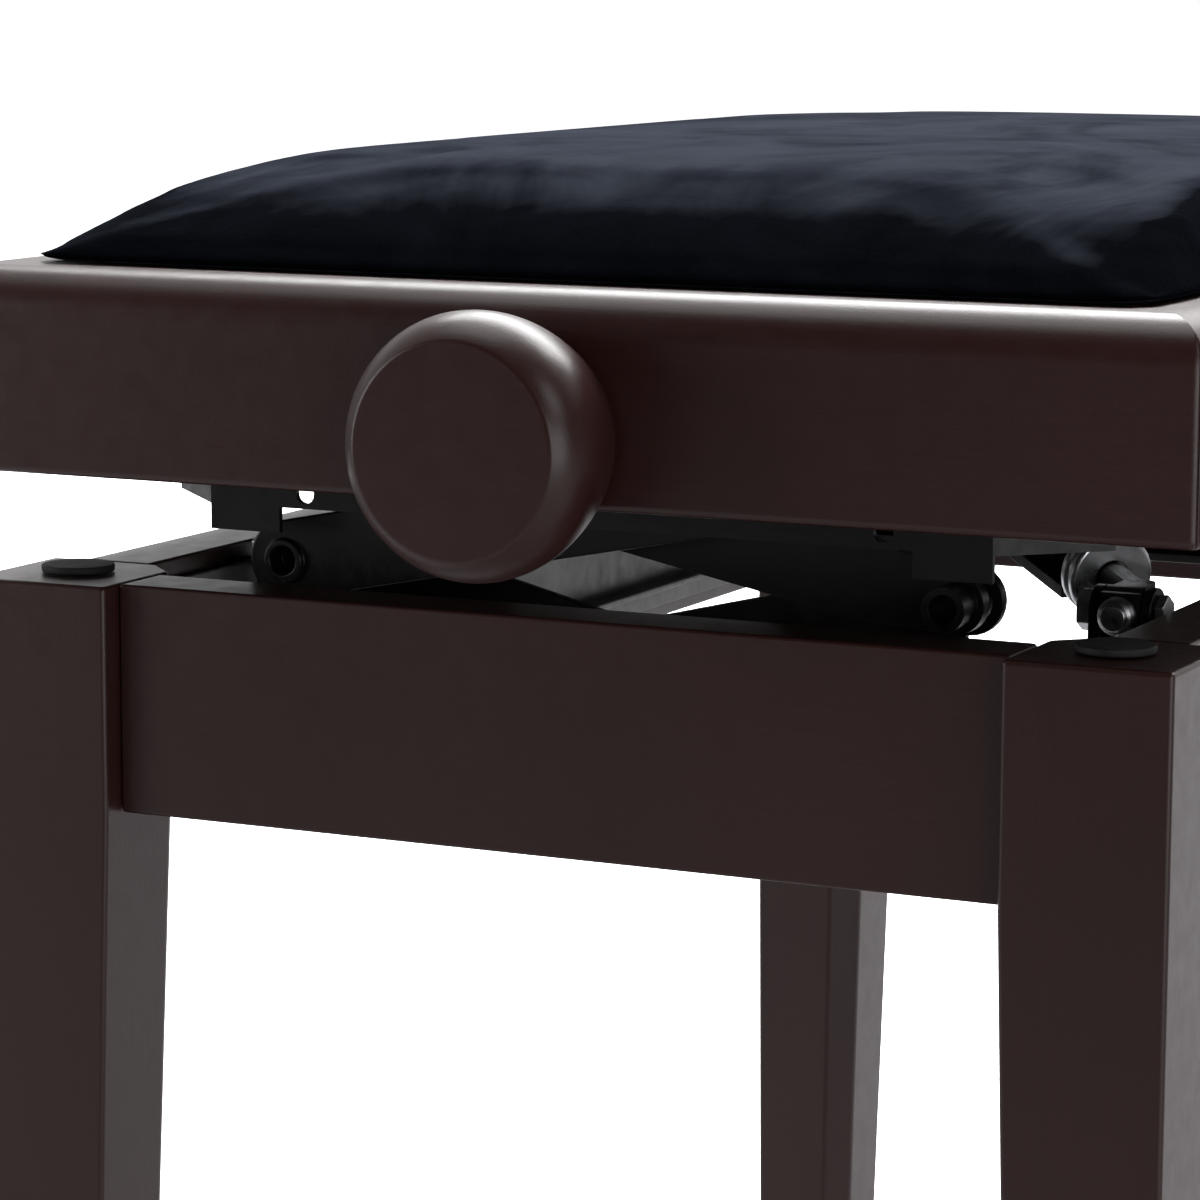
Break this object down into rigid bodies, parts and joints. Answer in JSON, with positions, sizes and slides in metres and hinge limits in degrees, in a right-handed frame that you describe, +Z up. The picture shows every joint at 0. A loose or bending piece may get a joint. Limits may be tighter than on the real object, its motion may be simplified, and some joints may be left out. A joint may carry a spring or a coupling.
{
  "type": "piano bench",
  "caption": "Rectangular bench with a padded velvet top on a moulded wooden frame, raised and lowered by turned side knobs through a crossed-arm steel lift on a square-legged base.",
  "frame": {"origin": "on the floor, under the middle of the bench", "axes": "+X along the bench, +Y across it, +Z up. The left end (-X) and the front (-Y) are the ones the picture shows nearest."},
  "size_m": [0.6154, 0.3278, 0.4984],
  "materials": {
    "lacquered_wood": "dark rosewood-brown satin lacquer, almost no visible grain",
    "plywood": "plywood stained dark brown",
    "velvet": "blue-black velvet with a soft sheen and a brushed nap",
    "black_steel": "black powder-coated steel, semi-matt",
    "grey_steel": "plain grey steel with a dull sheen",
    "zinc_steel": "bright zinc plating",
    "rubber": "black rubber, matt"
  },
  "bodies": {
    "base": {"leg_front_left": "lacquered_wood", "leg_front_right": "lacquered_wood", "leg_back_left": "lacquered_wood", "leg_back_right": "lacquered_wood", "glide_front_left": "rubber", "glide_front_right": "rubber", "glide_back_left": "rubber", "glide_back_right": "rubber", "bumper_front_left": "rubber", "bumper_front_right": "rubber", "bumper_back_left": "rubber", "bumper_back_right": "rubber", "apron_left": "lacquered_wood", "apron_right": "lacquered_wood", "apron_front": "lacquered_wood", "apron_back": "lacquered_wood", "lower_rail_front": "grey_steel", "lower_rail_back": "grey_steel", "lower_angle_left": "black_steel", "lower_angle_right": "black_steel", "anchor_clevis_front": "black_steel", "anchor_clevis_back": "black_steel", "anchor_bolt_front": "zinc_steel", "anchor_bolt_back": "zinc_steel"},
    "seat": {"seat_rail_left": "lacquered_wood", "seat_rail_right": "lacquered_wood", "seat_rail_front": "lacquered_wood", "seat_rail_back": "lacquered_wood", "seat_board": "plywood", "cushion": "velvet", "upper_angle_left": "black_steel", "upper_angle_right": "black_steel", "upper_side_angle_front": "black_steel", "upper_side_angle_back": "black_steel", "bush_left": "lacquered_wood", "bush_right": "lacquered_wood"},
    "screw": {"lift_screw": "zinc_steel", "knob_left": "lacquered_wood", "knob_right": "lacquered_wood"},
    "nut": {"screw_nut": "zinc_steel"},
    "swing_front": {"swing_arm_front_left": "black_steel", "swing_arm_front_right": "black_steel", "upper_shaft_front": "black_steel"},
    "swing_back": {"swing_arm_back_left": "black_steel", "swing_arm_back_right": "black_steel", "upper_shaft_back": "black_steel"},
    "lift_fork": {"fork_arm_front": "black_steel", "fork_arm_back": "black_steel", "pivot_block_front": "black_steel", "pivot_block_back": "black_steel", "pivot_cap_front": "zinc_steel", "pivot_cap_back": "zinc_steel", "thrust_collar_front": "zinc_steel", "thrust_collar_back": "zinc_steel"}
  },
  "joints": [
    {"name": "seat_lift", "type": "slide", "parent": "base", "child": "seat", "axis": [0, 0, 1], "range_m": [-0.0198, 0.06]},
    {"name": "screw_turn", "type": "hinge", "parent": "seat", "child": "screw", "pos_m": [0, 0, 0.4339], "axis": [1, 0, 0], "range_deg": [-784.77, 2374.05]},
    {"name": "nut_travel", "type": "slide", "parent": "seat", "child": "nut", "axis": [1, 0, 0], "range_m": [-0.0266, 0.00891]},
    {"name": "swing_front_pivot", "type": "hinge", "parent": "base", "child": "swing_front", "pos_m": [0, -0.0883, 0.3937], "axis": [1, 0, 0], "range_deg": [-6.16, 18.26]},
    {"name": "swing_back_pivot", "type": "hinge", "parent": "base", "child": "swing_back", "pos_m": [0, 0.0883, 0.3937], "axis": [1, 0, 0], "range_deg": [-18.26, 6.16]},
    {"name": "fork_pivot", "type": "hinge", "parent": "base", "child": "lift_fork", "pos_m": [-0.176, 0, 0.3877], "axis": [0, 1, 0], "range_deg": [-22.16, 7.45]}
  ],
  "couplings": [
    {"joint": "screw_turn", "follows": "seat_lift", "rad_per_m": 690},
    {"joint": "nut_travel", "follows": "seat_lift", "ratio": -0.44},
    {"joint": "swing_front_pivot", "follows": "seat_lift", "rad_per_m": 5.2534},
    {"joint": "swing_back_pivot", "follows": "seat_lift", "rad_per_m": -5.2534},
    {"joint": "fork_pivot", "follows": "seat_lift", "rad_per_m": -6.3879}
  ]
}
